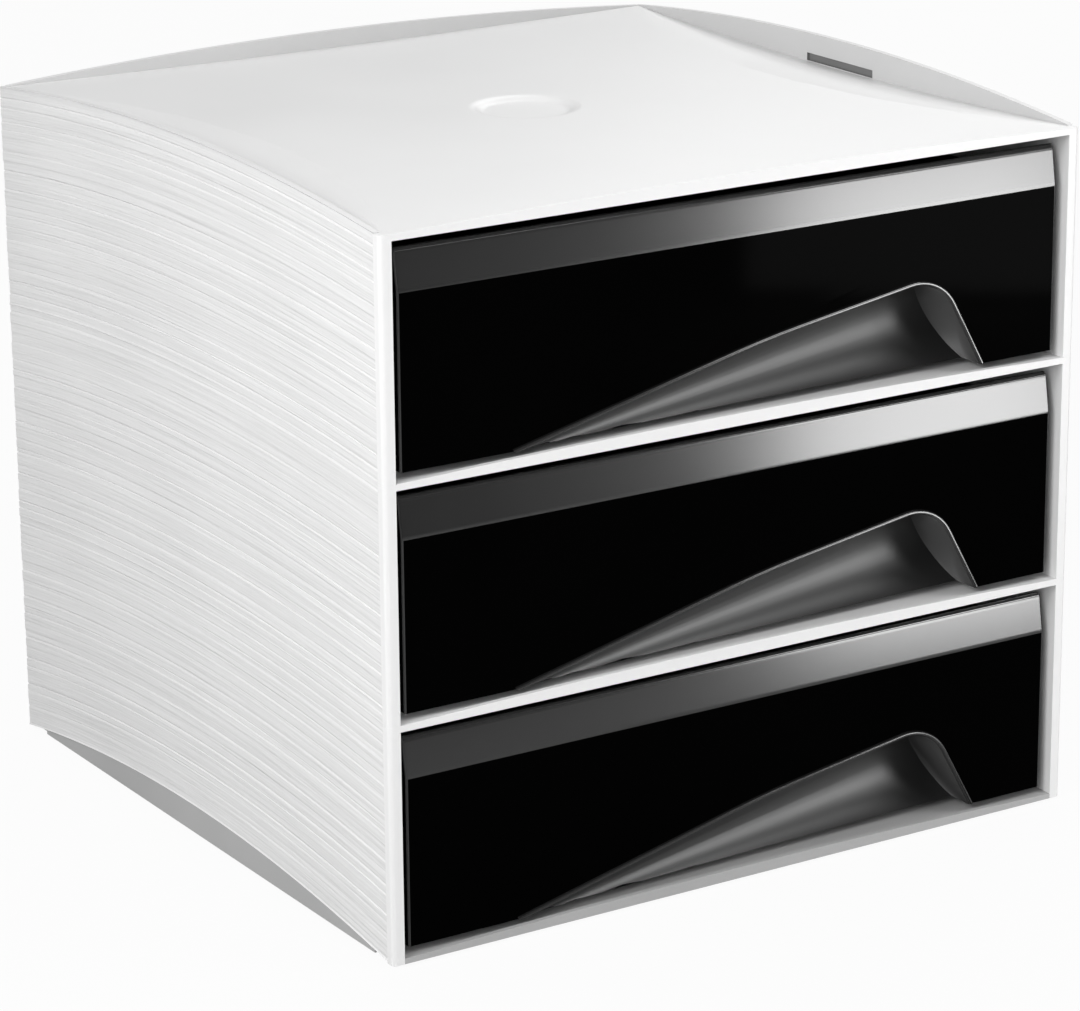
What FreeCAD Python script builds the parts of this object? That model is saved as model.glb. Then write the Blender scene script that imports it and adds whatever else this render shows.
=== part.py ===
# Desktop drawer stack: three identical modules on a base tray, each with one drawer that pulls out
# towards the front.  Millimetres, +Z up, front towards -Y, origin on the table under the middle.
import FreeCAD, Part
import math
import os

V = FreeCAD.Vector

# ---- whole object -------------------------------------------------------------------------
WIDTH = 212.0            # over the side panels
DEPTH = 208.0            # stile front to back panel
TIER = 62.0              # from one shelf top to the next
TIER_NAMES = ("lower", "middle", "upper")

# ---- base tray and feet -------------------------------------------------------------------
BASE_T = 1.4             # base tray plate
FOOT_T = 0.8             # rubber pad under the base tray
FOOT_DIA = 12.0
FOOT_INSET = 22.0        # pad centre from the outside faces
PEG_SIDE = 4.0           # square base tray peg up into a runner
PEG_H = 1.9
PEG_FROM_END = 24.0      # peg centre from the front and back faces
PEG_GAP = 0.1            # peg to hole, all round
SKIRT_T = 1.0            # strip of the base tray that fills the arch under each panel
SKIRT_GAP = 0.15         # skirt to panel
SKIRT_REACH = 0.9        # half length of a skirt, as a share of the arch's half span

# ---- housing: shelf, inner walls, stiles, runners --------------------------------------------
SHELF_T = 1.7
WALL = 1.7               # inner wall of the housing
STILE_DEPTH = 3.0        # full-width front edge of a side wall
EDGE_R = 1.3             # rounding on the stiles' outer edges
RAIL_RISE = 1.6          # arched rail along a shelf's front edge, rise at mid width
RAIL_DEPTH = 1.6
RUNNER_W = 8.0
RUNNER_T = 2.4
RUNNER_SETBACK = 11.0    # runner end behind the stile front
STOP_W = 6.0             # stop block beside the runner's front end
STOP_L = 3.0

# ---- shelf top: rolled-down sides, finger dish -------------------------------------------------
ROLL_W = 26.0            # widest reach of the rolled side zone
ROLL_DROP = 2.2
HAUNCH_SETBACK = 8.0     # front end of the thickening under a rolled zone, behind the stile front
BACK_ROLL_W = 6.0
BACK_ROLL_DROP = 0.8
DISH_DIA = 31.0
DISH_FLAT = 14.0         # level bottom of the dish
DISH_DEEP = 1.2

# ---- outer panels: leaves of a paper stack, arched along both edges ---------------------------
SKIN = 1.7
ARCH_SIDE = 6.0          # rise of a side panel's edges at mid depth
ARCH_BACK = 4.2          # rise of a back panel's edges at mid width
ARCH_FOOT_SIDE = 8.5     # rise of the lowest edge, sides
ARCH_FOOT_BACK = 5.0     # rise of the lowest edge, back
LEAVES = 6               # bundles of leaves on one panel, the first and last one flush
LEAF_STEP = 0.6          # deepest set-back of a bundle
LEAF_DRIFT = 0.25        # how unevenly the bundles are thick, in parts of one
LUG_L = 8.0              # snap lug through the housing wall
LUG_H = 3.0
LUG_SHORT = 0.2          # lug end short of the wall's inner face
LUG_GAP = 0.15
LUG_REACH = 0.36         # outer lugs from the middle, in parts of the panel's width

# ---- stacking catch: pocket in a side panel's rim, nub on a tab of the housing above -----------
CATCH_L = 31.0
CATCH_H = 2.2
CATCH_DEEP = 0.9
CATCH_LIFT = 0.2         # pocket above the deepest part of the rolled shelf
CATCH_GAP = 0.3

# ---- drawer front ------------------------------------------------------------------------------
FRONT_SETBACK = 2.0      # face behind the stile front
SIDE_GAP = 2.4
RAIL_GAP = 0.4           # bottom edge above the rail's highest point
HEADROOM = 2.8           # top edge below the shelf above
FRONT_T = 3.0
BEVEL_H = 10.3           # sloping band along the top
BEVEL_RUN = 1.6
LIP_T = 1.6              # top edge of the band
FRONT_LUG = 7.0          # square lug through the tray's front wall
FRONT_LUG_IN = 10.0      # lug centre from the tray's side
FRONT_LUG_LOW = 12.0     # lug centres above the tray floor
FRONT_LUG_HIGH = 30.0

# ---- finger scoop, open below: x from the middle, heights above the front's bottom edge ----------
SCOOP_LEFT = -65.0
SCOOP_KNEE_X = 8.0
SCOOP_KNEE_H = 16.7
SCOOP_PEAK_X = 62.0
SCOOP_PEAK_H = 25.3
SCOOP_RIGHT = 76.0
SCOOP_KNEE_R = 300.0
SCOOP_PEAK_R = 13.0
SCOOP_SINK = 1.7         # lowest line of the hollow cone below the front's bottom edge
SCOOP_WALL = 1.8
SHELL_SIDES = 8          # flat sides of the shell behind the scoop, counted right round
BEAD_W = 1.4             # raised bead round the scoop
BEAD_PROUD = 0.7

# ---- drawer tray ---------------------------------------------------------------------------------
RUN_GAP = 0.3            # tray above the runner
TRAY_WALL = 1.8
TRAY_FLOOR = 1.8
TRAY_BACK_GAP = 4.0
TRAY_TOP_GAP = 0.6       # tray wall top below the start of the band
TRAY_CORNER_R = 8.0
SCOOP_GAP = 0.4          # tray to scoop shell
TRAVEL = 150.0           # how far a drawer pulls out
STOP_GAP = 0.3
HOOK_L = 4.0
HOOK_LIFT = 0.7          # hook above the shelf

# ---- derived planes ------------------------------------------------------------------------------
HALF_W = WIDTH / 2
HALF_D = DEPTH / 2
SEAT_X = HALF_W - SKIN               # where side panels seat on the inner walls
SEAT_Y = HALF_D - SKIN               # where back panels seat
BAY_X = SEAT_X - WALL                # inside face of the side walls
BAY_Y = SEAT_Y - WALL                # inside face of the back wall
STILE_Y = -HALF_D + STILE_DEPTH      # back of the stiles
BASE_Z = FOOT_T + BASE_T             # top of the base tray
RUNNER_Y = -HALF_D + RUNNER_SETBACK
FACE_Y = -HALF_D + FRONT_SETBACK
FRONT_X = BAY_X - SIDE_GAP
TRAY_Y = FACE_Y + FRONT_T
FRONT_LIFT = RAIL_RISE + RAIL_GAP    # bottom edge of a front above its shelf
TRAY_Z = RUNNER_T + RUN_GAP          # underside of the tray above its shelf
FRONT_TOP = TIER - SHELF_T - HEADROOM
BEVEL_Z = FRONT_TOP - BEVEL_H


def box(x0, x1, y0, y1, z0, z1):
    return Part.makeBox(x1 - x0, y1 - y0, z1 - z0, V(x0, y0, z0))


def fused(first, *others):
    return first.multiFuse(list(others)).removeSplitter()


def mirrored(shape):
    """The same piece on the other side of the middle plane."""
    return shape.mirror(V(0, 0, 0), V(1, 0, 0))


def raised(shape, height):
    return shape.translated(V(0, 0, height))


def prism(points, x0, x1):
    """A (y, z) outline run along X."""
    corners = [V(x0, y, z) for y, z in points]
    return Part.Face(Part.makePolygon(corners + corners[:1])).extrude(V(x1 - x0, 0, 0))


# ---- outer panels --------------------------------------------------------------------------------
def arch(u0, u1, half, level, rise):
    """Edge from u0 to u1 in the XZ plane that rises towards the middle of the span."""
    def at(u):
        return V(u, 0, level + rise * (1 - (u / half) ** 2))
    return Part.Arc(at(u0), at((u0 + u1) / 2), at(u1)).toShape()


def arched_band(u0, u1, half, low, low_rise, high, high_rise):
    """Face between two arched edges."""
    bottom = arch(u0, u1, half, low, low_rise)
    top = arch(u0, u1, half, high, high_rise)
    ends = [(bottom.valueAt(bottom.FirstParameter), top.valueAt(top.FirstParameter)),
            (bottom.valueAt(bottom.LastParameter), top.valueAt(top.LastParameter))]
    sides = [Part.LineSegment(a, b).toShape() for a, b in ends]
    return Part.Face(Part.Wire(Part.__sortEdges__([bottom, sides[1], top, sides[0]])))


def leaf_panel(u0, u1, half, seat, low, low_rise, high, high_rise):
    """Panel across the XZ plane, seated at y = seat, whose bundles of leaves lie at uneven depths."""
    def band(a, b, y, depth):
        rises = [low_rise + (high_rise - low_rise) * (z - low) / (high - low) for z in (a, b)]
        face = arched_band(u0, u1, half, a, rises[0], b, rises[1])
        return face.extrude(V(0, depth, 0)).translated(V(0, y, 0))
    pitch = (high - low) / LEAVES
    drift = [0 if i in (0, LEAVES) else LEAF_DRIFT * math.sin(2.4 * i) for i in range(LEAVES + 1)]
    edges = [low + pitch * (i + drift[i]) for i in range(LEAVES + 1)]
    set_back = []
    for i in range(1, LEAVES - 1):
        share = 0.3 + 0.7 * abs(math.sin(1.9 * i)) if i % 2 else 0.15 * abs(math.sin(1.3 * i))
        depth = LEAF_STEP * share
        set_back.append(band(edges[i], edges[i + 1], SKIN - depth, SKIN))
    panel = band(low, high, 0, SKIN).cut(set_back)
    lugs = [box(u - LUG_L / 2, u + LUG_L / 2, LUG_SHORT - WALL, 0, z - LUG_H / 2, z + LUG_H / 2)
            for u, z in lug_places(u0, u1, high)]
    return fused(panel, *lugs).translated(V(0, seat, 0))


def lug_places(u0, u1, high):
    """Snap lugs in a row at mid height: two near the ends and one in the middle."""
    middle = (u0 + u1) / 2
    reach = (u1 - u0) * LUG_REACH
    return [(middle + side * reach, high - TIER / 2) for side in (-1, 0, 1)]


def side_panel(tier):
    """Right-hand panel.  Its local u axis runs from the back (-) to the front (+)."""
    shelf = BASE_Z + TIER * (tier + 1)
    low, rise = (FOOT_T, ARCH_FOOT_SIDE) if tier == 0 else (shelf - TIER, ARCH_SIDE)
    panel = leaf_panel(-HALF_D, -STILE_Y, HALF_D, SEAT_X, low, rise, shelf, ARCH_SIDE)
    pocket_z = shelf - ROLL_DROP + CATCH_LIFT
    pocket = box(-CATCH_L / 2, CATCH_L / 2, SEAT_X, SEAT_X + CATCH_DEEP, pocket_z, pocket_z + CATCH_H)
    return panel.cut(pocket).rotated(V(0, 0, 0), V(0, 0, 1), -90)


def back_panel(tier):
    shelf = BASE_Z + TIER * (tier + 1)
    low, rise = (FOOT_T, ARCH_FOOT_BACK) if tier == 0 else (shelf - TIER, ARCH_BACK)
    return leaf_panel(-SEAT_X, SEAT_X, HALF_W, SEAT_Y, low, rise, shelf, ARCH_BACK)


# ---- housing -------------------------------------------------------------------------------------
def lug_windows(shelf):
    """Openings in the walls for the panels' snap lugs."""
    long_half = LUG_L / 2 + LUG_GAP
    high_half = LUG_H / 2 + LUG_GAP
    windows = []
    for u, z in lug_places(-HALF_D, -STILE_Y, shelf):
        for x in (-SEAT_X, BAY_X):
            windows.append(box(x, x + WALL, -u - long_half, -u + long_half, z - high_half, z + high_half))
    for u, z in lug_places(-SEAT_X, SEAT_X, shelf):
        windows.append(box(u - long_half, u + long_half, BAY_Y, SEAT_Y, z - high_half, z + high_half))
    return windows


def roll_cutter(half, width, drop):
    """Flat cone that rolls the shelf down towards a wall, deepest at mid span."""
    radius = (half ** 2 + width ** 2) / (2 * width)
    cone = Part.makeCone(radius - width, radius, drop, V(0, 0, -drop), V(0, 0, 1))
    return cone, radius - width


def peg_places():
    """Centres of the pegs between base tray and runners."""
    x = BAY_X - RUNNER_W / 2
    y = HALF_D - PEG_FROM_END
    return [(sx * x, sy * y) for sx in (-1, 1) for sy in (-1, 1)]


def rail(level):
    """Arched rail along a front edge, between the stiles, rooted in the plate under it."""
    top = arch(-BAY_X, BAY_X, BAY_X, level, RAIL_RISE)
    corners = [top.valueAt(top.FirstParameter), V(-BAY_X, 0, level - BASE_T), V(BAY_X, 0, level - BASE_T),
               top.valueAt(top.LastParameter)]
    rest = [Part.LineSegment(a, b).toShape() for a, b in zip(corners, corners[1:])]
    face = Part.Face(Part.Wire(Part.__sortEdges__([top] + rest)))
    return face.extrude(V(0, RAIL_DEPTH, 0)).translated(V(0, -HALF_D, 0))


def haunch(points):
    """Thickening under a rolled zone of the shelf, an (x, z) outline run along Y."""
    start = -HALF_D + HAUNCH_SETBACK
    corners = [V(x, start, z) for x, z in points]
    return Part.Face(Part.makePolygon(corners + corners[:1])).extrude(V(0, BAY_Y - start, 0))


def housing(tier):
    floor = BASE_Z + TIER * tier
    shelf = floor + TIER
    stile_foot = FOOT_T if tier == 0 else floor
    pieces = [box(-SEAT_X, SEAT_X, BAY_Y, SEAT_Y, floor, shelf)]
    for side in (-1, 1):
        inner, seat, outer = sorted((side * BAY_X, side * SEAT_X)), side * SEAT_X, side * HALF_W
        pieces.append(box(inner[0], inner[1], STILE_Y, SEAT_Y, floor, shelf))
        stile = sorted((side * BAY_X, outer))
        pieces.append(box(stile[0], stile[1], -HALF_D, STILE_Y, stile_foot, shelf))
        runner = sorted((side * BAY_X, side * (BAY_X - RUNNER_W)))
        pieces.append(box(runner[0], runner[1], RUNNER_Y, BAY_Y, floor, floor + RUNNER_T))
        stop = sorted((side * (BAY_X - RUNNER_W), side * (BAY_X - RUNNER_W - STOP_W)))
        pieces.append(box(stop[0], stop[1], RUNNER_Y, RUNNER_Y + STOP_L, floor, floor + RUNNER_T))
        if tier > 0:
            nub = sorted((seat, side * (SEAT_X + CATCH_DEEP - CATCH_GAP)))
            half = CATCH_L / 2 - CATCH_GAP
            nub_z = floor - ROLL_DROP + CATCH_LIFT + CATCH_GAP
            pieces.append(box(inner[0], inner[1], -half, half, nub_z, floor))
            pieces.append(box(nub[0], nub[1], -half, half, nub_z, nub_z + CATCH_H - 2 * CATCH_GAP))
        wedge = [(side * BAY_X, shelf - SHELF_T), (side * BAY_X, shelf - SHELF_T - ROLL_DROP),
                 (side * (SEAT_X - ROLL_W), shelf - SHELF_T)]
        pieces.append(haunch(wedge))
    plate = box(-SEAT_X, SEAT_X, -HALF_D, SEAT_Y, shelf - SHELF_T, shelf)
    body = fused(plate, rail(shelf), *pieces)

    # round the stiles' outer corners
    edges = [edge for edge in body.Edges if abs(edge.CenterOfMass.y + HALF_D) < 0.01
             and abs(abs(edge.CenterOfMass.x) - HALF_W) < 0.01]
    body = body.makeFillet(min(EDGE_R, STILE_DEPTH / 3 * 2, (SKIN + WALL) / 2), edges)

    # shelf top: rolled sides and back, finger dish
    cuts = lug_windows(shelf)
    side_cone, side_reach = roll_cutter(-STILE_Y, ROLL_W, ROLL_DROP)
    back_cone, back_reach = roll_cutter(SEAT_X, BACK_ROLL_W, BACK_ROLL_DROP)
    for side in (-1, 1):
        cuts.append(side_cone.translated(V(side * (SEAT_X + side_reach), 0, shelf)))
    cuts.append(back_cone.translated(V(0, SEAT_Y + back_reach, shelf)))
    cuts.append(Part.makeCone(DISH_FLAT / 2, DISH_DIA / 2, DISH_DEEP, V(0, 0, shelf - DISH_DEEP), V(0, 0, 1)))
    hole = PEG_SIDE / 2 + PEG_GAP
    for x, y in peg_places():
        cuts.append(box(x - hole, x + hole, y - hole, y + hole, floor, floor + RUNNER_T))
    for cutter in cuts:
        body = body.cut(cutter)
    return body


# ---- base tray and feet ----------------------------------------------------------------------------
def foot_places():
    x = HALF_W - FOOT_INSET
    y = HALF_D - FOOT_INSET
    return {"front_left": (-x, -y), "front_right": (x, -y), "rear_left": (-x, y), "rear_right": (x, y)}


def skirt(half, rise, seat):
    """Strip across the XZ plane that fills the arch under a panel seated at y = seat."""
    reach = half * SKIRT_REACH
    top = arch(-reach, reach, half, FOOT_T - SKIRT_GAP, rise)
    corners = [top.valueAt(top.FirstParameter), V(-reach, 0, FOOT_T), V(reach, 0, FOOT_T),
               top.valueAt(top.LastParameter)]
    rest = [Part.LineSegment(a, b).toShape() for a, b in zip(corners, corners[1:])]
    face = Part.Face(Part.Wire(Part.__sortEdges__([top] + rest)))
    return face.extrude(V(0, SKIRT_T, 0)).translated(V(0, seat, 0))


def base_tray():
    """Plate inside the panels, with a railed bar between the stiles, a skirt under each panel and a peg
    into each runner end."""
    plate = box(-SEAT_X, SEAT_X, STILE_Y, SEAT_Y, FOOT_T, BASE_Z)
    bar = box(-BAY_X, BAY_X, -HALF_D, STILE_Y, FOOT_T, BASE_Z)
    half = PEG_SIDE / 2
    pegs = [box(x - half, x + half, y - half, y + half, BASE_Z, BASE_Z + PEG_H) for x, y in peg_places()]
    right = skirt(HALF_D, ARCH_FOOT_SIDE, SEAT_X).rotated(V(0, 0, 0), V(0, 0, 1), -90)
    skirts = [right, mirrored(right), skirt(HALF_W, ARCH_FOOT_BACK, SEAT_Y)]
    return fused(plate, bar, rail(BASE_Z), *skirts, *pegs)


def foot(x, y):
    return Part.makeCylinder(FOOT_DIA / 2, FOOT_T, V(x, y, 0))


# ---- drawer front ------------------------------------------------------------------------------------
def scoop_edges(grow):
    """Top line of the scoop in the XZ plane, left foot to right foot, moved outwards by grow."""
    corners = [V(SCOOP_LEFT, 0, FRONT_LIFT), V(SCOOP_KNEE_X, 0, FRONT_LIFT + SCOOP_KNEE_H),
               V(SCOOP_PEAK_X, 0, FRONT_LIFT + SCOOP_PEAK_H), V(SCOOP_RIGHT, 0, FRONT_LIFT)]
    corners = moved_out(corners, grow)
    edges = []
    start = corners[0]
    for corner, after, radius in ((corners[1], corners[2], SCOOP_KNEE_R + grow),
                                  (corners[2], corners[3], SCOOP_PEAK_R + grow)):
        into = (corner - start).normalize()
        away = (after - corner).normalize()
        turn = into.getAngle(away)
        reach = radius * math.tan(turn / 2)
        bisector = (away - into).normalize()
        centre = corner + bisector * (radius / math.cos(turn / 2))
        first = corner - into * reach
        last = corner + away * reach
        edges.append(Part.LineSegment(start, first).toShape())
        edges.append(Part.Arc(first, centre - bisector * radius, last).toShape())
        start = last
    edges.append(Part.LineSegment(start, corners[-1]).toShape())
    return edges


def moved_out(corners, grow):
    """Corners of the open outline with each straight run shifted outwards, feet kept at their level."""
    runs = []
    for a, b in zip(corners, corners[1:]):
        along = (b - a).normalize()
        out = V(-along.z, 0, along.x)
        runs.append((a + out * grow, along))
    level = corners[0].z
    moved = [at_level(runs[0], level)]
    for (p, d), (q, e) in zip(runs, runs[1:]):
        cross = d.x * e.z - d.z * e.x
        t = ((q.x - p.x) * e.z - (q.z - p.z) * e.x) / cross
        moved.append(p + d * t)
    moved.append(at_level(runs[-1], level))
    return moved


def at_level(run, level):
    point, along = run
    return point + along * ((level - point.z) / along.z)


def scoop_prism(grow, y0, y1, drop):
    """Outline of the scoop run along Y, closed drop below its feet."""
    edges = scoop_edges(grow)
    left = edges[0].valueAt(edges[0].FirstParameter)
    right = edges[-1].valueAt(edges[-1].LastParameter)
    below = V(0, 0, -drop)
    path = [left, left + below, right + below, right]
    foot = [Part.LineSegment(a, b).toShape() for a, b in zip(path, path[1:])]
    face = Part.Face(Part.Wire(Part.__sortEdges__(edges + foot)))
    return face.extrude(V(0, y1 - y0, 0)).translated(V(0, y0, 0))


def scoop_axis():
    """Apex, direction, length and half angle of the cone that hollows the scoop.

    The axis lies in the face, so that one side of the cone runs level below the front's bottom edge
    and the other along the rising top line."""
    rise = math.atan2(SCOOP_KNEE_H, SCOOP_KNEE_X - SCOOP_LEFT)
    apex = V(SCOOP_LEFT - SCOOP_SINK / math.tan(rise), FACE_Y, FRONT_LIFT - SCOOP_SINK)
    axis = V(math.cos(rise / 2), 0, math.sin(rise / 2))
    return apex, axis, SCOOP_RIGHT - apex.x + 2 * SCOOP_PEAK_R, rise / 2


def scoop_cone():
    apex, axis, length, half_angle = scoop_axis()
    return Part.makeCone(0, length * math.tan(half_angle), length, apex, axis)


def scoop_pyramid(grow):
    """Flat-sided cover round the cone, grow thicker than it on every side."""
    apex, axis, length, half_angle = scoop_axis()
    apex = apex - axis * (grow / math.sin(half_angle))
    length = length + grow / math.sin(half_angle)
    upward = V(-axis.z, 0, axis.x)
    radius = length * math.tan(half_angle) / math.cos(math.pi / SHELL_SIDES)
    middle = apex + axis * length
    turns = [math.pi * (2 * i + 1) / SHELL_SIDES for i in range(SHELL_SIDES)]
    ring = [middle + upward * (radius * math.cos(t)) + V(0, radius * math.sin(t), 0) for t in turns]
    ring.append(ring[0])
    faces = [Part.Face(Part.makePolygon([apex, a, b, apex])) for a, b in zip(ring, ring[1:])]
    return Part.makeSolid(Part.makeShell(faces + [Part.Face(Part.makePolygon(ring))]))


def scoop_shell(grow):
    """Solid round the scoop behind the face, grown by grow."""
    back = FACE_Y + 2 * SCOOP_PEAK_H
    return scoop_prism(grow, FACE_Y, back, SCOOP_SINK).common(scoop_pyramid(grow))


def drawer_front():
    profile = [(FACE_Y, FRONT_LIFT), (FACE_Y, BEVEL_Z), (FACE_Y + BEVEL_RUN, FRONT_TOP),
               (FACE_Y + BEVEL_RUN + LIP_T, FRONT_TOP), (FACE_Y + FRONT_T, BEVEL_Z),
               (FACE_Y + FRONT_T, FRONT_LIFT)]
    panel = prism(profile, -FRONT_X, FRONT_X)

    bead_line = Part.Wire(scoop_edges(BEAD_W / 2)).translated(V(0, FACE_Y, 0))
    above_edge = box(-HALF_W, HALF_W, -HALF_D, HALF_D, FRONT_LIFT, TIER)
    bead = bead_line.makePipeShell([bead_section(bead_line.Edges[0])], True, False).common(above_edge)
    shell = scoop_shell(SCOOP_WALL).common(above_edge)
    lug_depth = FRONT_T + TRAY_WALL
    lugs = [box(x - FRONT_LUG / 2, x + FRONT_LUG / 2, FACE_Y, FACE_Y + lug_depth,
                z - FRONT_LUG / 2, z + FRONT_LUG / 2) for x, z in front_lug_places()]
    front = fused(panel, bead, shell, *lugs)
    back = FACE_Y + 2 * SCOOP_PEAK_H
    hollow = scoop_prism(0, -HALF_D, back, SCOOP_SINK).common(fused(scoop_cone(), scoop_mouth()))
    return front.cut(hollow)


def bead_section(edge):
    """Trapezium across the bead at its left foot, rooted in the face."""
    start = edge.valueAt(edge.FirstParameter)
    along = edge.tangentAt(edge.FirstParameter)
    across = V(-along.z, 0, along.x)
    outline = [(-BEAD_W / 2, BEAD_PROUD), (-BEAD_W / 2, 0), (-BEAD_W / 4, -BEAD_PROUD),
               (BEAD_W / 4, -BEAD_PROUD), (BEAD_W / 2, 0), (BEAD_W / 2, BEAD_PROUD)]
    corners = [start + across * u + V(0, y, 0) for u, y in outline]
    return Part.makePolygon(corners + corners[:1])


def scoop_mouth():
    """Room in front of the face, so that the bead is cut back to the scoop's edge."""
    return box(-HALF_W, HALF_W, -HALF_D, FACE_Y, 0, TIER)


def front_lug_places():
    x = FRONT_X - FRONT_LUG_IN
    return [(side * x, TRAY_Z + TRAY_FLOOR + z) for side in (-1, 1) for z in (FRONT_LUG_LOW, FRONT_LUG_HIGH)]


# ---- drawer tray ---------------------------------------------------------------------------------------
def rounded_block(x, y0, y1, z0, z1, radius):
    """Block with its two rear corners rounded."""
    block = box(-x, x, y0, y1, z0, z1)
    rear = [e for e in block.Edges if abs(e.CenterOfMass.y - y1) < 0.01 and abs(e.Length - (z1 - z0)) < 0.01
            and abs(abs(e.CenterOfMass.x) - x) < 0.01]
    return block.makeFillet(radius, rear)


def drawer_tray():
    top = BEVEL_Z - TRAY_TOP_GAP
    back = BAY_Y - TRAY_BACK_GAP
    tray = rounded_block(FRONT_X, TRAY_Y, back, TRAY_Z, top, TRAY_CORNER_R)
    inside = rounded_block(FRONT_X - TRAY_WALL, TRAY_Y + TRAY_WALL, back - TRAY_WALL,
                           TRAY_Z + TRAY_FLOOR, top + TRAY_FLOOR, TRAY_CORNER_R - TRAY_WALL)
    tray = tray.cut(inside)
    hook_y = RUNNER_Y + STOP_L + STOP_GAP + TRAVEL
    hooks = []
    for side in (-1, 1):
        reach = sorted((side * (BAY_X - RUNNER_W - STOP_GAP), side * (BAY_X - RUNNER_W - STOP_W)))
        hooks.append(box(reach[0], reach[1], hook_y, hook_y + HOOK_L, HOOK_LIFT, TRAY_Z))
    tray = fused(tray, *hooks)
    room = FRONT_LUG / 2 + LUG_GAP
    for x, z in front_lug_places():
        tray = tray.cut(box(x - room, x + room, TRAY_Y, TRAY_Y + TRAY_WALL, z - room, z + room))
    return tray.cut(scoop_shell(SCOOP_WALL + SCOOP_GAP))


def save(shape, name):
    shape.exportStep(os.path.join("parts", name + ".step"))


os.makedirs("parts", exist_ok=True)
save(base_tray(), "base_tray")
for place, (foot_x, foot_y) in foot_places().items():
    save(foot(foot_x, foot_y), "foot_" + place)
front_shape = drawer_front()
tray_shape = drawer_tray()
for tier, tier_name in enumerate(TIER_NAMES):
    right = side_panel(tier)
    save(housing(tier), tier_name + "_housing")
    save(right, tier_name + "_right_panel")
    save(mirrored(right), tier_name + "_left_panel")
    save(back_panel(tier), tier_name + "_back_panel")
    save(raised(front_shape, BASE_Z + TIER * tier), tier_name + "_front")
    save(raised(tray_shape, BASE_Z + TIER * tier), tier_name + "_tray")
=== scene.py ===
import bpy
import bmesh
import math
from mathutils import Matrix, Vector


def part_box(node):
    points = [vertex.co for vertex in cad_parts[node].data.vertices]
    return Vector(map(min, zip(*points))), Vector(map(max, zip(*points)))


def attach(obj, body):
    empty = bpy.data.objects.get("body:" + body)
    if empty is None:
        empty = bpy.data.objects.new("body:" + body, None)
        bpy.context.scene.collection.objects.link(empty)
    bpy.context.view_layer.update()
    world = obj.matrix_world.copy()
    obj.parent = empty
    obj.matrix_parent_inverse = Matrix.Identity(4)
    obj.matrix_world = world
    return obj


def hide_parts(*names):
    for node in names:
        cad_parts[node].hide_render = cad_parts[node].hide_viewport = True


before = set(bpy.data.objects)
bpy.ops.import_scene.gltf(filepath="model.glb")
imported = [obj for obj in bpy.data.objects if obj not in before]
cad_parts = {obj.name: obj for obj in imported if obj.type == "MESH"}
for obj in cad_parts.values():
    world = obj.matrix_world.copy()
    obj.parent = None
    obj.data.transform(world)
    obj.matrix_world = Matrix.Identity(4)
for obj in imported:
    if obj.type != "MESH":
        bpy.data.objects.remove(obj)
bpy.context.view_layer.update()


# ---- Housings ----------------------------------------------------------------------------------
# Three satin white mouldings of polystyrene, each a shelf on two side walls and a back wall, with
# a stile at either front edge and an arched rail along the shelf.  The mould leaves their edges
# soft; each housing stands on the one below and catches in its side panels.

TIERS = ("lower", "middle", "upper")
BACK_RISE = 0.0042                  # back panel's rim above the shelf, at mid width
SHARP_BEND = math.radians(22.0)     # where the mould has an edge
FLAT_BEND = math.radians(0.4)       # faces that bend less are one face
WELD = 0.000002                     # points of a CAD mesh that lie closer are one point
HOUSING_ROUND = 0.00025             # width of the housings' rounded edges
DISH_PROFILE = (                    # finger dish from its rim inwards: radius and depth
    (0.0155, 0.0), (0.0149, 0.00004), (0.0142, 0.00013), (0.0135, 0.0003), (0.0129, 0.00056),
    (0.0124, 0.00086), (0.0119, 0.00106), (0.0113, 0.00117), (0.0105, 0.0012))
DISH_REACH = 0.0014                 # how far below the shelf the dish's faces are looked for
DISH_SLACK = 0.00002                # and how far outside its rim
RIM_SLACK = 0.0001                  # how far from the rim's circle its points may lie


def feed(node, inputs):
    """Give a node's inputs their values, or links from the sockets that stand for them."""
    for name, value in inputs.items():
        if isinstance(value, bpy.types.NodeSocket):
            node.id_data.links.new(value, node.inputs[name])
        else:
            node.inputs[name].default_value = value


def put(tree, kind, inputs=None, **settings):
    """New node of a kind in a tree, with its settings and its inputs."""
    node = tree.nodes.new(kind)
    for name, value in settings.items():
        setattr(node, name, value)
    feed(node, inputs or {})
    return node


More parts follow.
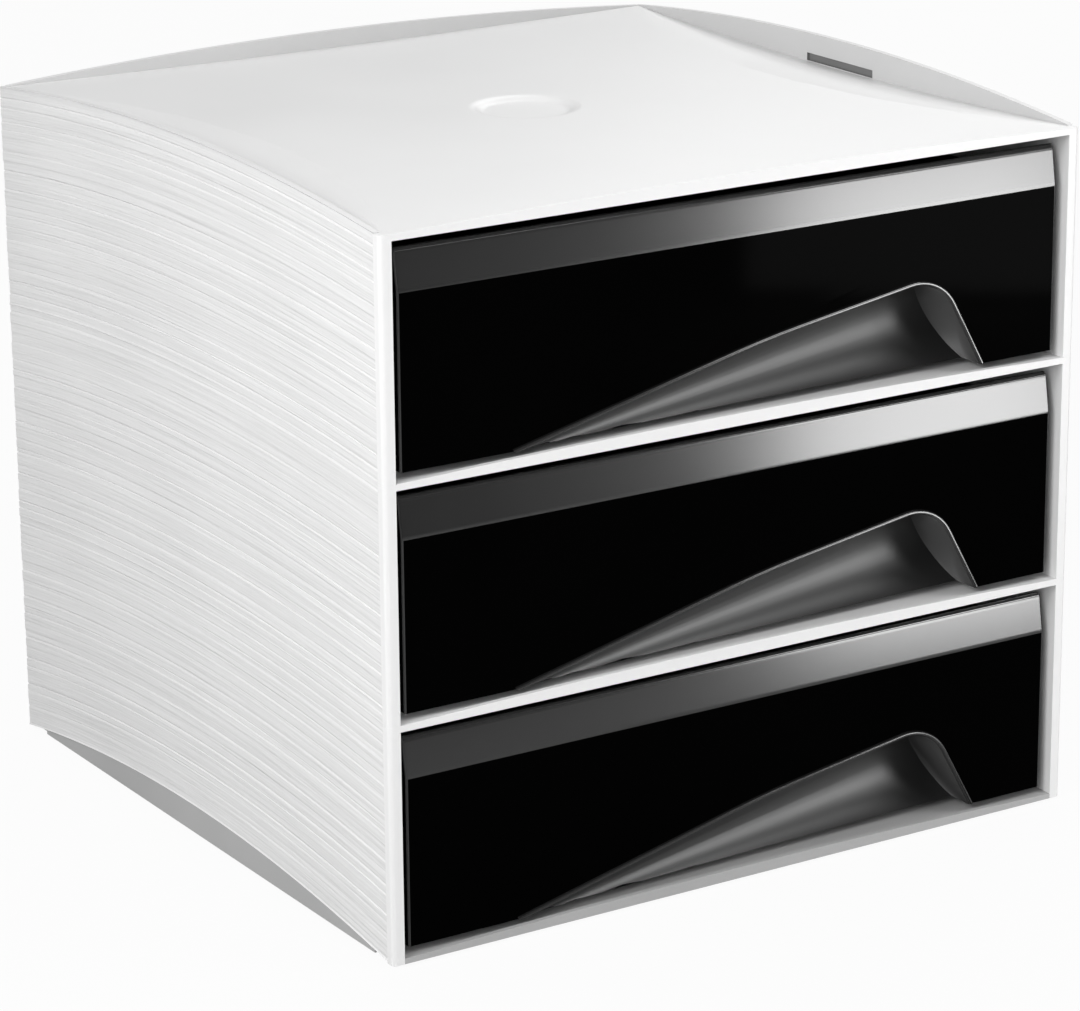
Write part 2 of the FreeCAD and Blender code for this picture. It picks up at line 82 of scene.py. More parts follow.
def mould_surface_group():
    """Cloudy tone, uneven sheen and fine texture of a moulded plastic surface."""
    tree = bpy.data.node_groups.new("Mould surface", "ShaderNodeTree")
    for label, kind in (("Place", "NodeSocketVector"), ("Clouds per metre", "NodeSocketFloat"),
                        ("Grains per metre", "NodeSocketFloat"), ("Dark", "NodeSocketColor"),
                        ("Light", "NodeSocketColor"), ("Rough low", "NodeSocketFloat"),
                        ("Rough high", "NodeSocketFloat")):
        tree.interface.new_socket(label, in_out="INPUT", socket_type=kind)
    for label, kind in (("Colour", "NodeSocketColor"), ("Roughness", "NodeSocketFloat"),
                        ("Height", "NodeSocketFloat")):
        tree.interface.new_socket(label, in_out="OUTPUT", socket_type=kind)
    given = put(tree, "NodeGroupInput").outputs
    clouds = put(tree, "ShaderNodeTexNoise", {
        "Vector": given["Place"], "Scale": given["Clouds per metre"], "Detail": 3.0}).outputs["Fac"]
    grains = put(tree, "ShaderNodeTexNoise", {
        "Vector": given["Place"], "Scale": given["Grains per metre"], "Detail": 2.0}).outputs["Fac"]
    # a colour mix takes its share at 0, its colours at 6 and 7, and gives its colour at 2
    tone = put(tree, "ShaderNodeMix", {0: clouds, 6: given["Dark"], 7: given["Light"]}, data_type="RGBA")
    rough = put(tree, "ShaderNodeMapRange", {
        "Value": clouds, "To Min": given["Rough low"], "To Max": given["Rough high"]})
    put(tree, "NodeGroupOutput", {
        "Colour": tone.outputs[2], "Roughness": rough.outputs["Result"], "Height": grains})
    return tree


MOULD_SURFACE = mould_surface_group()


def moulded(name, dark, light, rough, relief, specular=0.5):
    """Moulded plastic: its two greys, range of roughness, depth of texture and reflection."""
    material = bpy.data.materials.new(name)
    material.use_nodes = True
    tree = material.node_tree
    surface = put(tree, "ShaderNodeGroup", {
        "Place": put(tree, "ShaderNodeTexCoord").outputs["Object"],
        "Clouds per metre": 22.0, "Grains per metre": 1500.0,
        "Dark": (dark, dark, dark, 1.0), "Light": (light, light, light, 1.0),
        "Rough low": rough[0], "Rough high": rough[1]}, node_tree=MOULD_SURFACE, name="Surface")
    texture = put(tree, "ShaderNodeBump", {
        "Strength": 0.5, "Distance": relief, "Height": surface.outputs["Height"]}, name="Texture")
    feed(tree.nodes["Principled BSDF"], {
        "Base Color": surface.outputs["Colour"], "Roughness": surface.outputs["Roughness"],
        "Normal": texture.outputs["Normal"], "Specular IOR Level": specular})
    return material


def moulding_from(node, name, materials, edge_round):
    """Piece with a CAD node's shape, its faces joined up and its edges rounded by the mould."""
    work = bmesh.new()
    work.from_mesh(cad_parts[node].data)
    bmesh.ops.remove_doubles(work, verts=work.verts, dist=WELD)
    bmesh.ops.dissolve_limit(work, angle_limit=FLAT_BEND, verts=work.verts, edges=work.edges)
    for face in work.faces:
        face.smooth = True
    mesh = bpy.data.meshes.new(name)
    work.to_mesh(mesh)
    work.free()
    mesh.set_sharp_from_angle(angle=SHARP_BEND)
    mesh.materials.clear()
    for material in materials:
        mesh.materials.append(material)
    mesh.polygons.foreach_set("material_index", [0] * len(mesh.polygons))
    piece = bpy.data.objects.new(name, mesh)
    bpy.context.scene.collection.objects.link(piece)
    if edge_round:
        rounding = piece.modifiers.new("Mould rounding", "BEVEL")
        rounding.width = edge_round
        rounding.segments = 2
        rounding.limit_method = "ANGLE"
        rounding.angle_limit = SHARP_BEND
        rounding.use_clamp_overlap = True
        rounding.miter_outer = "MITER_ARC"
        rounding.harden_normals = False
    even = piece.modifiers.new("Even shading", "WEIGHTED_NORMAL")
    even.keep_sharp = True
    even.weight = 100
    return piece


def shelf_top(tier):
    """Height of a module's shelf."""
    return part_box(tier + "_back_panel")[1].z - BACK_RISE


def pressed_dish(shell, shelf):
    """Give the finger dish its rolled rim, steep side and level floor."""
    work = bmesh.new()
    work.from_mesh(shell.data)
    rim = DISH_PROFILE[0][0]

    def in_dish(face):
        return all(math.hypot(vert.co.x, vert.co.y) < rim + DISH_SLACK and vert.co.z > shelf - DISH_REACH
                   for vert in face.verts)

    bmesh.ops.delete(work, geom=[face for face in work.faces if in_dish(face)], context="FACES")
    ring = [edge for edge in work.edges if edge.is_boundary
            and all(abs(math.hypot(vert.co.x, vert.co.y) - rim) < RIM_SLACK for vert in edge.verts)]
    for radius, depth in DISH_PROFILE[1:]:
        drawn = bmesh.ops.extrude_edge_only(work, edges=ring)["geom"]
        ring = [part for part in drawn if isinstance(part, bmesh.types.BMEdge) and part.is_boundary]
        for vert in {vert for edge in ring for vert in edge.verts}:
            reach = math.hypot(vert.co.x, vert.co.y)
            vert.co = (vert.co.x * radius / reach, vert.co.y * radius / reach, shelf - depth)
    bmesh.ops.contextual_create(work, geom=ring)
    work.normal_update()
    for face in work.faces:
        if in_dish(face):
            face.smooth = True
            if face.normal.z < 0:
                face.normal_flip()
    work.to_mesh(shell.data)
    work.free()


satin_white = moulded("Satin white polystyrene", 0.80, 0.84, (0.36, 0.44), 0.00002)
for tier in TIERS:
    shell = moulding_from(tier + "_housing", tier + "_housing_moulding", [satin_white], HOUSING_ROUND)
    pressed_dish(shell, shelf_top(tier))
    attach(shell, "carcass")
    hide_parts(tier + "_housing")


# ---- Leaf panels ---------------------------------------------------------------------------------
# Nine matt white panels, three to a module, moulded like the edges of a stack of curved paper
# leaves, with arched top and bottom edges.  Each snaps on to a housing wall with three lugs, and
# the rims of the side panels hold a catch pocket for the module above.

SKIN_THICK = 0.0017                 # panel's wall, before its leaves are pressed in
STILE_DEEP = 0.003                  # front edge of a housing's wall, which the side panels stop at
SHELF_PITCH = 0.062                 # from one shelf to the next
FOOT_LEVEL = 0.0008                 # ends of the lowest panels' feet above the table
BACK_FOOT_RISE = 0.005              # arch of the lowest back panel's foot
SIDE_RISE = 0.006                   # arch of the side panels' edges
SIDE_FOOT_RISE = 0.0085             # arch of the lowest side panels' feet
LUG_SIZE = (0.008, 0.0017, 0.003)   # along the panel, through the wall, up
LUG_SUNK = 0.0002                   # lug's root in the panel
LUG_REACH = 0.36                    # outer lugs from the middle, in parts of the panel's length
POCKET_LOW = 0.002                  # pocket's floor below the shelf
POINTS_ALONG = 66                   # grid points along a panel
ROWS = 4                            # rows of points to a leaf
RIPPLES = 26.0                      # per metre, along a leaf
RIPPLE_STEP = 5.37                  # how far the ripples of two leaves lie apart in their noise
LEAF_BY_LEAF = 0.55                 # share of the set-back that differs by leaf; the rest ripples
GROOVE_LEAST, GROOVE_SPREAD = 0.25, 0.9     # shallowest groove, and how much deeper one may be
EDGE_DRAW, DEPTH_DRAW, GROOVE_DRAW = 11, 37, 53     # one draw of chance for each of these
CRISP_BEND = 0.7                    # sharper bends than this, in radians, stay crisp
FACING_IN = -0.7                    # normals with less than this along Y are on the inner side
POCKET_SLACK = 0.00002              # how far outside the pocket its faces are looked for
LINES_ALONG = 13.0                  # fine lines' change along the panel, per metre
LINES_UP = 38.0                     # and over the panel's height
# leaves to a panel, how far their edges wander in parts of a leaf, and how deep they are pressed
LEAF_SHAPE = {"Leaves": 24, "Drift": 0.8, "Set-back": 0.0004, "Groove": 0.0002}
POCKET_SHAPE = {"Pocket length": 0.031, "Pocket height": 0.0022, "Pocket depth": 0.0009}
PANEL_INPUTS = {
    "NodeSocketFloat": ("Start", "End", "Half span", "Foot level", "Foot rise", "Rim level", "Rim rise",
                        "Thickness", "Drift", "Set-back", "Groove", "Lug level", "Lug reach",
                        "Pocket length", "Pocket height", "Pocket depth", "Pocket foot"),
    "NodeSocketInt": ("Leaves", "Seed"),
    "NodeSocketBool": ("Pocket",),
    "NodeSocketMaterial": ("Material", "Inner painted shade material", "Pocket painted shade material")}


class Figure:
    """Socket of a node tree that is reckoned with as a number is."""

    def __init__(self, socket):
        self.socket = socket

    def __add__(self, other):
        return reckoned("ADD", self, other)

    def __radd__(self, other):
        return reckoned("ADD", other, self)

    def __sub__(self, other):
        return reckoned("SUBTRACT", self, other)

    def __rsub__(self, other):
        return reckoned("SUBTRACT", other, self)

    def __mul__(self, other):
        return reckoned("MULTIPLY", self, other)

    def __truediv__(self, other):
        return reckoned("DIVIDE", self, other)

    def __pow__(self, other):
        return reckoned("POWER", self, other)

    def __abs__(self):
        return reckoned("ABSOLUTE", self)

    def __lt__(self, other):
        return reckoned("LESS_THAN", self, other)

    def __gt__(self, other):
        return reckoned("GREATER_THAN", self, other)


def socket_of(value):
    """What a node's input takes for a figure, a socket or a plain number."""
    return value.socket if isinstance(value, Figure) else value


def reckoned(operation, *values):
    """Figure that a Math node makes of figures and plain numbers."""
    tree = next(value for value in values if isinstance(value, Figure)).socket.id_data
    numbered = {place: socket_of(value) for place, value in enumerate(values)}
    return Figure(put(tree, "ShaderNodeMath", numbered, operation=operation).outputs[0])


def vector(tree, **parts):
    """Vector socket made of figures or numbers for X, Y and Z; a part left out is 0."""
    plain = {axis: socket_of(part) for axis, part in parts.items()}
    return put(tree, "ShaderNodeCombineXYZ", plain).outputs[0]


def parts_of(tree, source):
    """Figures for the three parts of a vector socket."""
    return [Figure(part) for part in put(tree, "ShaderNodeSeparateXYZ", {0: source}).outputs]


def chance(given, number, draw):
    """Random figure from 0 to 1 for a whole number; each draw gives a different one."""
    tree = number.socket.id_data
    place = vector(tree, X=number, Y=given["Seed"] + draw)
    noise = put(tree, "ShaderNodeTexWhiteNoise", {"Vector": place}, noise_dimensions="2D")
    return Figure(noise.outputs["Value"])


def leaf_edge(given, number):
    """Height share of a leaf's lower edge: it wanders, but the panel's foot and rim stay put."""
    inner = (number > 0.5) * (number < given["Leaves"] - 0.5)
    wander = (chance(given, number, EDGE_DRAW) - 0.5) * given["Drift"] * inner
    return (number + wander) / given["Leaves"]


def leafed_sheet(tree, given):
    """Sheet between the two arches, which keeps each point's depth and height share for later."""
    rows = given["Leaves"] * ROWS
    grid = put(tree, "GeometryNodeMeshGrid", {
        "Size X": 1.0, "Size Y": 1.0, "Vertices X": POINTS_ALONG, "Vertices Y": (rows + 1).socket})
    across, upward, _ = parts_of(tree, put(tree, "GeometryNodeInputPosition").outputs[0])
    share_along = across + 0.5
    row = reckoned("ROUND", (upward + 0.5) * rows)
    leaf = reckoned("FLOOR", (row + 0.5) / ROWS)
    in_leaf = (row - leaf * ROWS) / ROWS

    low_edge = leaf_edge(given, leaf)
    high_edge = leaf_edge(given, leaf + 1)
    bunched = 0.5 - reckoned("COSINE", in_leaf * math.pi) * 0.5
    share_up = low_edge + (high_edge - low_edge) * bunched
    along = given["Start"] + share_along * (given["End"] - given["Start"])
    bow = 1 - (along / given["Half span"]) ** 2
    foot = given["Foot level"] + bow * given["Foot rise"]
    rim = given["Rim level"] + bow * given["Rim rise"]
    height = foot + share_up * (rim - foot)

    inside = (row > 0.5) * (row < rows - 0.5)
    first_row = in_leaf < 0.1
    ripple_place = vector(tree, X=along * RIPPLES, Y=(leaf + given["Seed"]) * RIPPLE_STEP)
    ripple = Figure(put(tree, "ShaderNodeTexNoise", {"Vector": ripple_place, "Scale": 1.0, "Detail": 2.0},
                        noise_dimensions="2D").outputs["Fac"])
    uneven = chance(given, leaf, DEPTH_DRAW) * LEAF_BY_LEAF + ripple * (1 - LEAF_BY_LEAF)
    face_depth = uneven * given["Set-back"] * inside
    groove = given["Groove"] * (GROOVE_LEAST + chance(given, leaf, GROOVE_DRAW) * GROOVE_SPREAD)
    groove_depth = first_row * inside * groove

    sheet = grid.outputs["Mesh"]
    for name, figure in (("leaf_depth", face_depth + groove_depth), ("leaf_share", share_up)):
        sheet = put(tree, "GeometryNodeStoreNamedAttribute", {
            "Geometry": sheet, "Name": name, "Value": figure.socket},
            data_type="FLOAT", domain="POINT").outputs["Geometry"]
    return put(tree, "GeometryNodeSetPosition", {
        "Geometry": sheet, "Position": vector(tree, X=along, Z=height)}).outputs["Geometry"]


def thickened(tree, given, sheet):
    """Closed panel: the sheet doubled outwards, its leaves pressed back into the outside."""
    turned = put(tree, "GeometryNodeFlipFaces", {"Mesh": sheet})
    thick = put(tree, "GeometryNodeExtrudeMesh", {
        "Mesh": turned.outputs["Mesh"], "Offset": vector(tree, Y=given["Thickness"]), "Individual": False})
    depth = put(tree, "GeometryNodeInputNamedAttribute", {"Name": "leaf_depth"}, data_type="FLOAT")
    pressed = put(tree, "GeometryNodeSetPosition", {
        "Geometry": thick.outputs["Mesh"], "Selection": thick.outputs["Top"],
        "Offset": vector(tree, Y=Figure(depth.outputs["Attribute"]) * -1)})
    closed = put(tree, "GeometryNodeJoinGeometry", {"Geometry": pressed.outputs["Geometry"]})
    feed(closed, {"Geometry": sheet})
    return put(tree, "GeometryNodeMergeByDistance", {
        "Geometry": closed.outputs["Geometry"], "Distance": 0.000001}).outputs["Geometry"]


def pocketed(tree, given, panel):
    """Panel with a catch pocket in the inner side of its rim, where it is to have one."""
    size = vector(tree, X=given["Pocket length"], Y=given["Pocket depth"] * 2, Z=given["Pocket height"])
    block = put(tree, "GeometryNodeMeshCube", {"Size": size})
    lifted = put(tree, "GeometryNodeTransform", {
        "Geometry": block.outputs["Mesh"],
        "Translation": vector(tree, Z=given["Pocket foot"] + given["Pocket height"] * 0.5)})
    carved = put(tree, "GeometryNodeMeshBoolean", {"Mesh 1": panel, "Mesh 2": lifted.outputs["Geometry"]},
                 operation="DIFFERENCE", solver="MANIFOLD")
    return put(tree, "GeometryNodeSwitch", {
        "Switch": given["Pocket"].socket, "False": panel, "True": carved.outputs["Mesh"]},
        input_type="GEOMETRY").outputs["Output"]


def lugged(tree, given, panel):
    """Panel with its three snap lugs, which go through the housing's wall."""
    middle = (given["Start"] + given["End"]) * 0.5
    first = vector(tree, X=middle - given["Lug reach"], Y=LUG_SUNK - LUG_SIZE[1] / 2, Z=given["Lug level"])
    line = put(tree, "GeometryNodeMeshLine", {
        "Count": 3, "Start Location": first, "Offset": vector(tree, X=given["Lug reach"])})
    lugs = put(tree, "GeometryNodeInstanceOnPoints", {
        "Points": line.outputs["Mesh"],
        "Instance": put(tree, "GeometryNodeMeshCube", {"Size": LUG_SIZE}).outputs["Mesh"]})
    whole = put(tree, "GeometryNodeJoinGeometry", {"Geometry": panel})
    feed(whole, {"Geometry": lugs.outputs["Instances"]})
    real = put(tree, "GeometryNodeRealizeInstances", {"Geometry": whole.outputs["Geometry"]})
    return real.outputs["Geometry"]


def surfaced(tree, given, panel):
    """Panel with crisp edges and a leafed outside, whose smooth inner side and pocket are darkened with
    painted shade.
    """
    bend = Figure(put(tree, "GeometryNodeInputMeshEdgeAngle").outputs["Unsigned Angle"])
    panel = put(tree, "GeometryNodeSetShadeSmooth", {
        "Geometry": panel, "Selection": (bend > CRISP_BEND).socket, "Shade Smooth": False},
        domain="EDGE").outputs["Geometry"]
    panel = put(tree, "GeometryNodeSetMaterial", {
        "Geometry": panel, "Material": given["Material"].socket}).outputs["Geometry"]
    # faces on the inner side take a darker grey of the same white: painted shade
    outward = parts_of(tree, put(tree, "GeometryNodeInputNormal").outputs[0])[1]
    panel = put(tree, "GeometryNodeSetMaterial", {
        "Geometry": panel, "Selection": (outward < FACING_IN).socket,
        "Material": given["Inner painted shade material"].socket}).outputs["Geometry"]
    # faces inside the catch pocket take a dark grey of the same white: painted shade
    along, depth, height = parts_of(tree, put(tree, "GeometryNodeInputPosition").outputs[0])
    lift = height - given["Pocket foot"]
    in_pocket = given["Pocket"] * (abs(along) < given["Pocket length"] * 0.5 + POCKET_SLACK) \
        * (depth > POCKET_SLACK) * (depth < given["Pocket depth"] + POCKET_SLACK) \
        * (lift > -POCKET_SLACK) * (lift < given["Pocket height"] + POCKET_SLACK)
    return put(tree, "GeometryNodeSetMaterial", {
        "Geometry": panel, "Selection": in_pocket.socket,
        "Material": given["Pocket painted shade material"].socket}).outputs["Geometry"]


def leaf_panel_tree():
    """Panel in the XZ plane, with its inner side at y = 0 and its leaves towards +Y."""
    tree = bpy.data.node_groups.new("Leaf panel", "GeometryNodeTree")
    tree.interface.new_socket("Geometry", in_out="OUTPUT", socket_type="NodeSocketGeometry")
    for kind, labels in PANEL_INPUTS.items():
        for label in labels:
            tree.interface.new_socket(label, in_out="INPUT", socket_type=kind)
    sockets = put(tree, "NodeGroupInput").outputs
    given = {label: Figure(sockets[label]) for labels in PANEL_INPUTS.values() for label in labels}
    panel = thickened(tree, given, leafed_sheet(tree, given))
    panel = lugged(tree, given, pocketed(tree, given, panel))
    put(tree, "NodeGroupOutput", {"Geometry": surfaced(tree, given, panel)})
    return tree


def grown(name, tree, values):
    """Plain mesh object made by a node tree with these inputs."""
    holder = bpy.data.objects.new(name + "_maker", bpy.data.meshes.new(name + "_maker"))
    bpy.context.scene.collection.objects.link(holder)
    maker = holder.modifiers.new("Maker", "NODES")
    maker.node_group = tree
    for socket in tree.interface.items_tree:
        if socket.in_out == "INPUT":
            maker[socket.identifier] = values[socket.name]
    bpy.context.view_layer.update()
    made = holder.evaluated_get(bpy.context.evaluated_depsgraph_get())
    mesh = bpy.data.meshes.new_from_object(made)
    mesh.name = name
    holder.modifiers.remove(maker)
    bpy.data.objects.remove(holder)
    piece = bpy.data.objects.new(name, mesh)
    bpy.context.scene.collection.objects.link(piece)
    return piece


def leafed_white():
    """Matt white whose fine lines and tone follow the leaves."""
    material = moulded("Leafed white panel", 0.76, 0.82, (0.50, 0.62), 0.00002)
    tree = material.node_tree
    x, y, _ = parts_of(tree, put(tree, "ShaderNodeTexCoord").outputs["Object"])
    share = Figure(put(tree, "ShaderNodeAttribute", attribute_name="leaf_share").outputs["Fac"])
    lines = put(tree, "ShaderNodeTexNoise", {
        "Vector": vector(tree, X=x * LINES_ALONG, Y=y * LINES_ALONG, Z=share * LINES_UP),
        "Scale": 1.0, "Detail": 4.0, "Roughness": 0.65}).outputs["Fac"]
    relief = put(tree, "ShaderNodeBump", {"Strength": 1.0, "Distance": 0.0005, "Height": lines})
    feed(tree.nodes["Texture"], {"Normal": relief.outputs["Normal"]})
    tone = put(tree, "ShaderNodeMapRange", {
        "Value": lines, "From Min": 0.3, "From Max": 0.7, "To Min": 0.92, "To Max": 1.0})
    toned = put(tree, "ShaderNodeVectorMath", {
        0: tree.nodes["Surface"].outputs["Colour"], "Scale": tone.outputs["Result"]}, operation="SCALE")
    feed(tree.nodes["Principled BSDF"], {"Base Color": toned.outputs[0]})
    return material


LEAF_PANEL = leaf_panel_tree()
# the inner side and the catch pocket are darker greys of the same white plastic: painted shade
panel_look = {"Material": leafed_white(),
              "Inner painted shade material": moulded("Inner side painted shade", 0.56, 0.62, (0.40, 0.50), 0.00002),
              "Pocket painted shade material": moulded("Catch pocket painted shade", 0.16, 0.20, (0.50, 0.60), 0.00002)}
housing_low, housing_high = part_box("lower_housing")
side_half = (housing_high.y - housing_low.y + SKIN_THICK) / 2
back_half = housing_high.x
for level, tier in enumerate(TIERS):
    shelf = shelf_top(tier)
    for place, turn, seed in (("left", 90.0, 3), ("right", -90.0, 7), ("back", 0.0, 5)):
        half_span, seat, rise, foot_rise = side_half, back_half - SKIN_THICK, SIDE_RISE, SIDE_FOOT_RISE
        if place == "left":
            start, end = STILE_DEEP - side_half, side_half
        elif place == "right":
            start, end = -side_half, side_half - STILE_DEEP
        else:
            half_span, seat, rise, foot_rise = back_half, side_half - SKIN_THICK, BACK_RISE, BACK_FOOT_RISE
            start, end = SKIN_THICK - back_half, back_half - SKIN_THICK
        values = {**LEAF_SHAPE, **POCKET_SHAPE, **panel_look, "Thickness": SKIN_THICK,
                  "Seed": seed + 20 * level, "Start": start, "End": end, "Half span": half_span,
                  "Rim level": shelf, "Rim rise": rise,
                  "Foot level": shelf - SHELF_PITCH if level else FOOT_LEVEL,
                  "Foot rise": rise if level else foot_rise,
                  "Lug level": shelf - SHELF_PITCH / 2, "Lug reach": (end - start) * LUG_REACH,
                  "Pocket": place != "back", "Pocket foot": shelf - POCKET_LOW}
        node = tier + "_" + place + "_panel"
        panel = grown(node + "_leaves", LEAF_PANEL, values)
        panel.data.transform(Matrix.Rotation(math.radians(turn), 4, "Z") @ Matrix.Translation((0, seat, 0)))
        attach(panel, "carcass")
        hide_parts(node)


# ---- Drawer fronts -------------------------------------------------------------------------------
# High-gloss black mouldings, each with a band along the top that leans back, and a finger scoop
# that is open below and edged with a thin bead.  They clip to the trays with square lugs.

BEAD_PROUD = 0.0007                 # bead before the face
BAND_HIGH = 0.0102                  # height of the band that leans back
SCOOP_ENDS = (-0.07, 0.08)          # the scoop lies between these, along X
SCOOP_ABOVE = (0.0001, 0.03)        # and between these, above the front's bottom edge
HOLLOW_APEX_X = -0.0728             # point of the cone that the scoop is cut with
HOLLOW_SINK = 0.0017                # the point below the front's bottom edge
HOLLOW_TILT = math.radians(6.36)    # the cone's axis above level, and half the angle at its point
HOLLOW_AXIS = Vector((math.cos(HOLLOW_TILT), 0.0, math.sin(HOLLOW_TILT)))
TOUCH = 0.00001                     # points that lie closer are level with each other
EDGE_DEEP = 0.002                   # the edges to be rounded lie this close behind the face
CREST_ROUND = 0.001                 # roundings of the band's crest, the bead and the two ends
BEAD_ROUND = 0.00022
END_ROUND = 0.0005
BEAD_CROWN = 0.25                   # how far the bead is shaded as a round bar
BEAD_LEAN = Vector((0.0, 0.0, 0.12))    # and how far its shading is turned up
FACE, BAND, SCOOP = range(3)        # slots of the three finishes


def finish_faces(plate, low, high, face_y, apex):
    """Sort a front's faces into the plain face, the band with the bead, and the scoop."""
    for face in plate.data.polygons:
        x, y, z = face.center
        from_apex = face.center - apex
        towards_axis = apex + HOLLOW_AXIS * from_apex.dot(HOLLOW_AXIS) - face.center
        is_hollow = face.normal.dot(towards_axis) > 0 or face.normal.x < -0.5
        if y < face_y - TOUCH or (z > high.z - BAND_HIGH and face.normal.y < -0.5):
            face.material_index = BAND
        elif is_hollow and y > face_y + TOUCH and SCOOP_ENDS[0] < x < SCOOP_ENDS[1] \
                and low.z + SCOOP_ABOVE[0] < z < low.z + SCOOP_ABOVE[1]:
            face.material_index = SCOOP
        else:
            face.material_index = FACE


def round_edges(plate, low, high, face_y):
    """Round the crest of the band, the bead and the front's two ends."""
    work = bmesh.new()
    work.from_mesh(plate.data)

    def crest(edge):
        return all(high.z - vert.co.z < TOUCH and vert.co.y < face_y + EDGE_DEEP for vert in edge.verts)

    def bead(edge):
        return all(vert.co.y < low.y + TOUCH for vert in edge.verts) \
            and any(vert.co.z > low.z + TOUCH for vert in edge.verts) \
            and any(face.normal.y > -0.9 for face in edge.link_faces)

    def end(edge):
        return all(abs(abs(vert.co.x) - high.x) < TOUCH and vert.co.y < face_y + EDGE_DEEP
                   for vert in edge.verts)

    for chosen, width, segments in ((crest, CREST_ROUND, 5), (bead, BEAD_ROUND, 3), (end, END_ROUND, 3)):
        bmesh.ops.bevel(work, geom=[edge for edge in work.edges if chosen(edge)], offset=width,
                        segments=segments, profile=0.5, affect="EDGES", material=BAND)
    for face in work.faces:
        face.smooth = True
    work.to_mesh(plate.data)
    work.free()


def shaded_scoop(plate, face_y, apex):
    """Finished mesh of a front: its scoop shaded as a smooth cone that turns into its end wall,
    and its bead as a low crown."""
    mesh = bpy.data.meshes.new_from_object(plate.evaluated_get(bpy.context.evaluated_depsgraph_get()))
    normals = [corner.vector.copy() for corner in mesh.corner_normals]
    bead = [face for face in mesh.polygons if face.center.y < face_y - TOUCH]
    crown = {}
    for face in bead:
        for index in face.vertices:
            crown[index] = crown.get(index, Vector()) + face.normal
    for face in bead:
        for corner in face.loop_indices:
            round_over = crown[mesh.loops[corner].vertex_index].normalized()
            crowned = round_over * BEAD_CROWN + face.normal * (1 - BEAD_CROWN)
            normals[corner] = (crowned + BEAD_LEAN).normalized()
    for face in mesh.polygons:
        if face.material_index != SCOOP:
            continue
        for corner in face.loop_indices:
            point = mesh.vertices[mesh.loops[corner].vertex_index].co
            from_apex = point - apex
            radial = (from_apex - HOLLOW_AXIS * from_apex.dot(HOLLOW_AXIS)).normalized()
            smooth = HOLLOW_AXIS * math.sin(HOLLOW_TILT) - radial * math.cos(HOLLOW_TILT)
            # the cone's own faces, and the end wall, which turns into the face at its mouth
            if face.normal.dot(smooth) > (0.8 if face.normal.y < -0.3 else 0.9):
                normals[corner] = smooth
            elif face.normal.x < -0.5:
                turned = Vector((0.0, -1.0, 0.0)) if point.y < face_y + 0.001 else smooth
                normals[corner] = (face.normal + turned).normalized()
    mesh.normals_split_custom_set(normals)
    return mesh


front_finishes = [
    moulded("Deep gloss black face", 0.0006, 0.0010, (0.05, 0.08), 0.000001, specular=0.003),
    moulded("Polished black band", 0.004, 0.007, (0.16, 0.19), 0.000001, specular=0.8),
    moulded("Polished black scoop", 0.006, 0.012, (0.42, 0.46), 0.000002, specular=1.0)]
for tier in TIERS:
    node = tier + "_front"
    low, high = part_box(node)
    face_y = low.y + BEAD_PROUD
    apex = Vector((HOLLOW_APEX_X, face_y, low.z - HOLLOW_SINK))
    plate = moulding_from(node, tier + "_front_moulding", front_finishes, 0.0)
    finish_faces(plate, low, high, face_y, apex)
    round_edges(plate, low, high, face_y)
    plate.data = shaded_scoop(plate, face_y, apex)
    plate.modifiers.clear()
    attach(plate, tier + "_drawer")
    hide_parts(node)


# ---- Drawer trays --------------------------------------------------------------------------------
# Open black trays of fine matt plastic, clipped behind the fronts and running on the housings'
# ledges.  Their edges are rounded by the mould.

TRAY_ROUND = 0.0003                 # width of the trays' rounded edges

matt_black = moulded("Matt black tray", 0.010, 0.016, (0.45, 0.6), 0.00004)
for tier in TIERS:
    tray = moulding_from(tier + "_tray", tier + "_tray_moulding", [matt_black], TRAY_ROUND)
    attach(tray, tier + "_drawer")
    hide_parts(tier + "_tray")


# ---- Base tray and feet ----------------------------------------------------------------------------
# Moulded plate under the lowest housing, with a railed bar in front and a curved skirt under each panel;
# it stands on four soft rubber pads.  Its grey is painted shade for the recess under the panels' arched
# feet.

BASE_ROUND = 0.0002                 # width of the plate's rounded edges

# the plate's mid grey is painted shade for the recess under the panels
base_shade_grey = moulded("Base tray painted shade grey", 0.38, 0.46, (0.5, 0.6), 0.00004)
base = moulding_from("base_tray", "base_tray_moulding", [base_shade_grey], BASE_ROUND)
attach(base, "carcass")
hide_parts("base_tray")
pad_rubber = moulded("Foot pad rubber", 0.10, 0.14, (0.7, 0.8), 0.0001)
for place in ("front_left", "front_right", "rear_left", "rear_right"):
    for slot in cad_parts["foot_" + place].material_slots:
        slot.material = pad_rubber


# ---- Floor, light and camera -----------------------------------------------------------------------
# A pale studio floor that shows white to the camera and still takes the unit's shadow, soft
# boxes round the object, and the camera at the front left.

FLOOR_REACH = 6.0
FLOOR_GREY = 0.55
FLOOR_GLOW = 0.95                   # how much of the floor the camera sees as plain white
WORLD_LIGHT = 0.30                  # strength of the studio's white walls

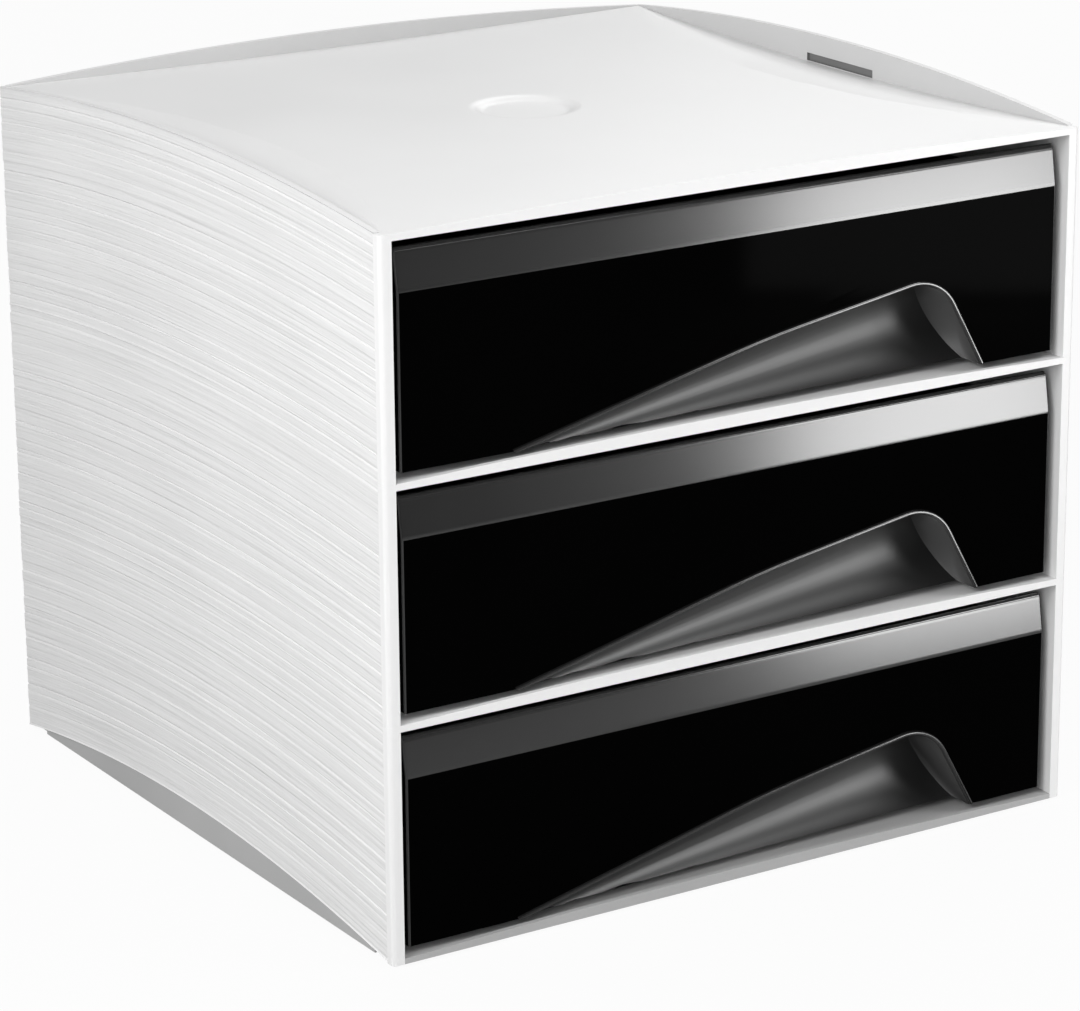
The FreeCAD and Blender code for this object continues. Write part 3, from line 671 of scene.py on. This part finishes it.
floor_mesh = bpy.data.meshes.new("studio_floor")
floor_corners = [(x * FLOOR_REACH, y * FLOOR_REACH, 0) for x, y in ((-1, -1), (1, -1), (1, 1), (-1, 1))]
floor_mesh.from_pydata(floor_corners, [], [(0, 1, 2, 3)])
floor = bpy.data.objects.new("studio_floor", floor_mesh)
bpy.context.scene.collection.objects.link(floor)
paper = bpy.data.materials.new("White paper floor")
paper.use_nodes = True
tree = paper.node_tree
shader = tree.nodes["Principled BSDF"]
feed(shader, {"Base Color": (FLOOR_GREY, FLOOR_GREY, FLOOR_GREY, 1.0), "Roughness": 0.9,
              "Specular IOR Level": 0.0})
seen = put(tree, "ShaderNodeLightPath").outputs["Is Camera Ray"]
share = put(tree, "ShaderNodeMath", {0: seen, 1: FLOOR_GLOW}, operation="MULTIPLY").outputs[0]
glow = put(tree, "ShaderNodeEmission", {"Strength": 1.0}).outputs[0]
mixed = put(tree, "ShaderNodeMixShader", {0: share, 1: shader.outputs[0], 2: glow})
feed(tree.nodes["Material Output"], {"Surface": mixed.outputs[0]})
floor_mesh.materials.append(paper)

world = bpy.data.worlds.new("Studio")
world.use_nodes = True
bpy.context.scene.world = world
tree = world.node_tree
seen = put(tree, "ShaderNodeLightPath").outputs["Is Camera Ray"]
strength = put(tree, "ShaderNodeMapRange", {"Value": seen, "To Min": WORLD_LIGHT, "To Max": 1.0})
feed(tree.nodes["Background"], {"Color": (1, 1, 1, 1), "Strength": strength.outputs["Result"]})


def soft_box(name, place, target, width, height, power):
    """Rectangular soft light at a place, facing a target."""
    lamp = bpy.data.lights.new(name, "AREA")
    lamp.shape = "RECTANGLE"
    lamp.size = width
    lamp.size_y = height
    lamp.energy = power
    holder = bpy.data.objects.new(name, lamp)
    facing = (Vector(target) - Vector(place)).to_track_quat("-Z", "Y")
    holder.matrix_world = Matrix.Translation(place) @ facing.to_matrix().to_4x4()
    bpy.context.scene.collection.objects.link(holder)
    holder.visible_camera = False


middle = (0.0, 0.0, 0.10)
scoop_spot = (0.06, -0.10, 0.10)
band_spot = (0.06, -0.10, 0.11)
soft_box("Main soft box", (1.1, 0.9, 1.1), middle, 1.0, 1.0, 9.0)
soft_box("Left key soft box", (-0.70, -0.25, 0.60), middle, 0.4, 0.4, 4.2)
soft_box("Front fill soft box", (-0.60, -0.60, 0.40), middle, 0.4, 0.4, 2.0)
soft_box("Scoop soft box", (0.43, -0.51, 0.81), scoop_spot, 0.35, 0.30, 2.1)
soft_box("Bead soft box", (0.64, -0.56, 0.15), scoop_spot, 0.14, 0.24, 0.4)
soft_box("Band soft box", (0.395, -0.55, 0.11), band_spot, 0.13, 0.21, 1.0)

eye = Vector((-0.59113, -0.94623, 0.42758))
azimuth, elevation, roll = math.radians(-32.1526), math.radians(17.5053), math.radians(-0.4768)
back = Vector((math.sin(azimuth) * math.cos(elevation), -math.cos(azimuth) * math.cos(elevation),
               math.sin(elevation)))
across = Vector((math.cos(azimuth), math.sin(azimuth), 0.0))
upward = back.cross(across)
right = across * math.cos(roll) + upward * math.sin(roll)
up = upward * math.cos(roll) - across * math.sin(roll)
lens = bpy.data.cameras.new("Studio camera")
lens.lens = 140.98
lens.sensor_width = 36.0
lens.clip_start = 0.05
lens.clip_end = 40.0
camera = bpy.data.objects.new("Studio camera", lens)
camera.matrix_world = Matrix.Translation(eye) @ Matrix((right, up, back)).transposed().to_4x4()
bpy.context.scene.collection.objects.link(camera)
bpy.context.scene.camera = camera
bpy.context.scene.view_settings.view_transform = "Standard"
